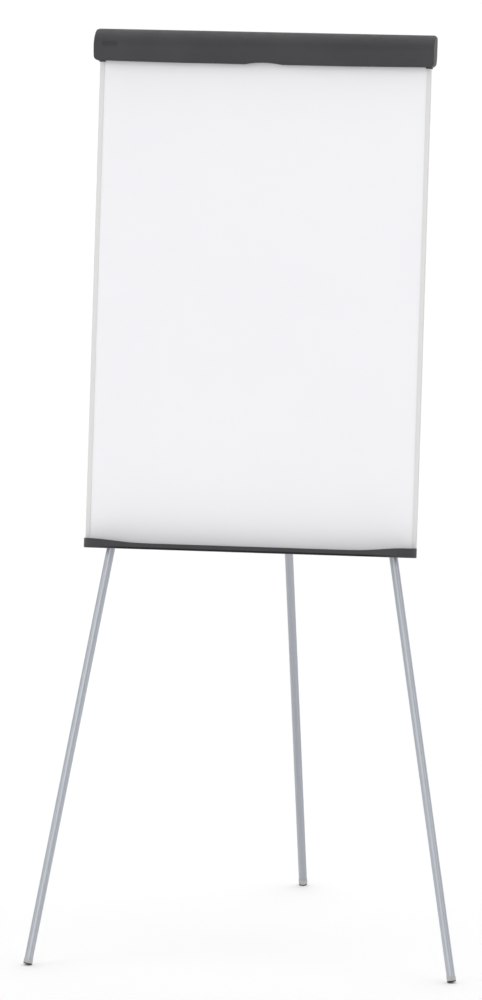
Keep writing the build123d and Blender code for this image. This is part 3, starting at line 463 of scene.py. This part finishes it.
def tray_ribs(material):
    """Long low ribs on the tray's floor, which keep markers from rolling."""
    mesh = bmesh.new()
    for y in TRAY_RIB_Y:
        ridge(mesh, BOARD, (0, y, TRAY_FLOOR_Z), 600 * MM, 1.8 * MM, 1.0 * MM, out=(0, 0, 1))
    piece("tray_ribs", mesh, material, "frame")


def bracket_gussets(material):
    """Triangular webs that brace the clevis ears on the leg bracket's plate."""
    mesh = bmesh.new()
    for side in (-1, 1):
        for z in GUSSET_Z:
            corners = ((16.5, 14.5), (31.0, 14.5), (29.5, 16.5), (18.5, 26.0), (16.5, 26.0))
            faces = []
            for half in (-GUSSET_HALF_THICKNESS, GUSSET_HALF_THICKNESS):
                ring = [mesh.verts.new(BOARD @ Vector((side * x * MM, y * MM, z + half)))
                        for x, y in corners]
                faces.append(ring)
            mesh.faces.new(faces[0])
            mesh.faces.new(faces[1][::-1])
            count = len(corners)
            for i in range(count):
                j = (i + 1) % count
                mesh.faces.new((faces[0][i], faces[0][j], faces[1][j], faces[1][i]))
    bmesh.ops.recalc_face_normals(mesh, faces=mesh.faces)
    bmesh.ops.bevel(mesh, geom=mesh.edges[:], offset=0.35 * MM, segments=2, affect="EDGES")
    piece("bracket_gussets", mesh, material, "frame")


def header_front(z):
    """Depth of the clamp bar's outer face at a height on the board."""
    rise = z - HEADER_MIDDLE_Z
    if rise > 0:
        share = rise / (HEADER_TOP_Z - HEADER_MIDDLE_Z)
        return HEADER_BACK_Y - (HEADER_BACK_Y - HEADER_FRONT_Y) * math.sqrt(1 - share**2)
    return HEADER_FRONT_Y + HEADER_LOWER_RADIUS - math.sqrt(HEADER_LOWER_RADIUS**2 - rise**2)


def header_badge(material):
    """Blank raised badge near the header's left end."""
    mesh = bmesh.new()
    around = 64
    rings = []
    for share in (1.0, 0.985, 0.95, 0.9, 0.6, 0.3):
        ring = []
        for i in range(around):
            angle = 2 * math.pi * i / around
            c = math.copysign(abs(math.cos(angle)) ** 0.5, math.cos(angle))
            s = math.copysign(abs(math.sin(angle)) ** 0.5, math.sin(angle))
            z = BADGE_Z + BADGE_HALF_HEIGHT * share * s
            out = BADGE_LIFT * (1 - share**40) - 0.1 * MM
            point = Vector((BADGE_X + BADGE_HALF_LENGTH * share * c, header_front(z) - out, z))
            ring.append(mesh.verts.new(BOARD @ point))
        rings.append(ring)
    for outer, inner in zip(rings, rings[1:]):
        for i in range(around):
            j = (i + 1) % around
            mesh.faces.new((outer[i], outer[j], inner[j], inner[i]))
    mesh.faces.new(rings[-1])
    back = [mesh.verts.new(vertex.co + BOARD.to_3x3() @ Vector((0, 0.3 * MM, 0))) for vertex in rings[0]]
    for i in range(around):
        j = (i + 1) % around
        mesh.faces.new((rings[0][i], rings[0][j], back[j], back[i]))
    mesh.faces.new(back[::-1])
    piece("header_badge", mesh, material, "clamp_bar_unit")


# ---------------------------------------------------------------- stage


def floor():
    """Plain pale floor."""
    shader = Shader("pale_floor", Roughness=0.9)
    tone = shader.grain((3.0, 3.0, 3.0), detail=2)
    shader.set("Base Color", shader.shades(tone, (0.905, 0.905, 0.905), (0.915, 0.915, 0.915)))
    mesh = bmesh.new()
    bmesh.ops.create_circle(mesh, cap_ends=True, radius=90.0, segments=96)
    data = bpy.data.meshes.new("floor")
    mesh.to_mesh(data)
    mesh.free()
    data.materials.append(shader.material)
    ground = bpy.data.objects.new("floor", data)
    bpy.context.scene.collection.objects.link(ground)


def distant_light(name, azimuth, elevation, spread, strength):
    """Large soft light far away. Azimuth is 0 in front of the easel and grows towards its right."""
    light = bpy.data.lights.new(name, "SUN")
    light.angle = math.radians(spread)
    light.energy = strength
    lamp = bpy.data.objects.new(name, light)
    turn = math.radians(azimuth)
    rise = math.radians(elevation)
    towards = Vector((math.sin(turn) * math.cos(rise), -math.cos(turn) * math.cos(rise), math.sin(rise)))
    lamp.rotation_euler = towards.to_track_quat("Z", "Y").to_euler()
    bpy.context.scene.collection.objects.link(lamp)


def studio():
    """Plain white backdrop, light that is strongest above and behind the easel, and four soft lights."""
    world = bpy.data.worlds.new("studio")
    world.use_nodes = True
    bpy.context.scene.world = world
    tree = world.node_tree
    background = tree.nodes["Background"]
    background.inputs["Strength"].default_value = WORLD_STRENGTH
    place = tree.nodes.new("ShaderNodeTexCoord")
    away = tree.nodes.new("ShaderNodeVectorMath")
    away.operation = "DOT_PRODUCT"
    away.inputs[1].default_value = UP_AND_BACK
    share = tree.nodes.new("ShaderNodeMapRange")
    share.inputs["From Min"].default_value = -1.0
    ramp = tree.nodes.new("ShaderNodeValToRGB")
    tree.links.new(place.outputs["Generated"], away.inputs[0])
    tree.links.new(away.outputs["Value"], share.inputs["Value"])
    tree.links.new(share.outputs["Result"], ramp.inputs["Fac"])
    seen = tree.nodes.new("ShaderNodeLightPath")
    backdrop = tree.nodes.new("ShaderNodeMix")
    backdrop.data_type = "RGBA"
    backdrop.inputs[MIX_SECOND].default_value = (1, 1, 1, 1)
    tree.links.new(seen.outputs["Is Camera Ray"], backdrop.inputs[MIX_FACTOR])
    tree.links.new(ramp.outputs["Color"], backdrop.inputs[MIX_FIRST])
    tree.links.new(backdrop.outputs[MIX_RESULT], background.inputs["Color"])
    front, back = ramp.color_ramp.elements
    front.position = 0.42
    front.color = (0.17, 0.17, 0.175, 1)
    back.position = 0.80
    back.color = (1.0, 1.0, 1.0, 1)
    distant_light("left_light", -58, 22, 24, 0.58)
    distant_light("right_light", 60, 20, 26, 0.40)
    distant_light("front_light", -7, 10, 46, 0.92)
    distant_light("top_light", 160, 68, 70, 0.50)


def camera():
    """Camera at the photograph's viewing angle."""
    aim = BOARD.translation + AIM_FROM_BOARD
    back = Vector((math.sin(CAMERA_AZIMUTH) * math.cos(CAMERA_ELEVATION),
                   -math.cos(CAMERA_AZIMUTH) * math.cos(CAMERA_ELEVATION),
                   math.sin(CAMERA_ELEVATION)))
    right = (-back).cross(Vector((0, 0, 1))).normalized()
    up = right.cross(-back)
    rolled_right = math.cos(CAMERA_ROLL) * right + math.sin(CAMERA_ROLL) * up
    rolled_up = math.cos(CAMERA_ROLL) * up - math.sin(CAMERA_ROLL) * right
    turn = Matrix((rolled_right, rolled_up, back)).transposed().to_4x4()
    data = bpy.data.cameras.new("camera")
    data.sensor_width = SENSOR
    data.lens = FOCAL_SHARE * SENSOR
    data.clip_end = 500.0
    view = bpy.data.objects.new("camera", data)
    view.matrix_world = Matrix.Translation(aim + back * CAMERA_DISTANCE) @ turn
    bpy.context.scene.collection.objects.link(view)
    bpy.context.scene.camera = view


def build():
    materials = slot_materials()
    paints = {leg: painted_tube(leg) for leg in LEGS}
    tray = tray_plastic("tray_moulding", *DARK_GREY, BOARD)
    dress_frame({**materials, **paints, "pen_tray": tray})
    black = materials["black_plastic"]
    lever_ridges(black)
    collar_ribs(black)
    hook_ridges(black)
    bracket_gussets(black)
    tray_ribs(tray)
    header_badge(moulded_plastic("badge_moulding", (0.041, 0.0405, 0.042), (0.047, 0.0465, 0.048),
                                 (0.06, 0.06, 0.06), 0.5, 0.16, BOARD))
    floor()
    studio()
    camera()
    bpy.context.scene.view_settings.view_transform = "Standard"


build()
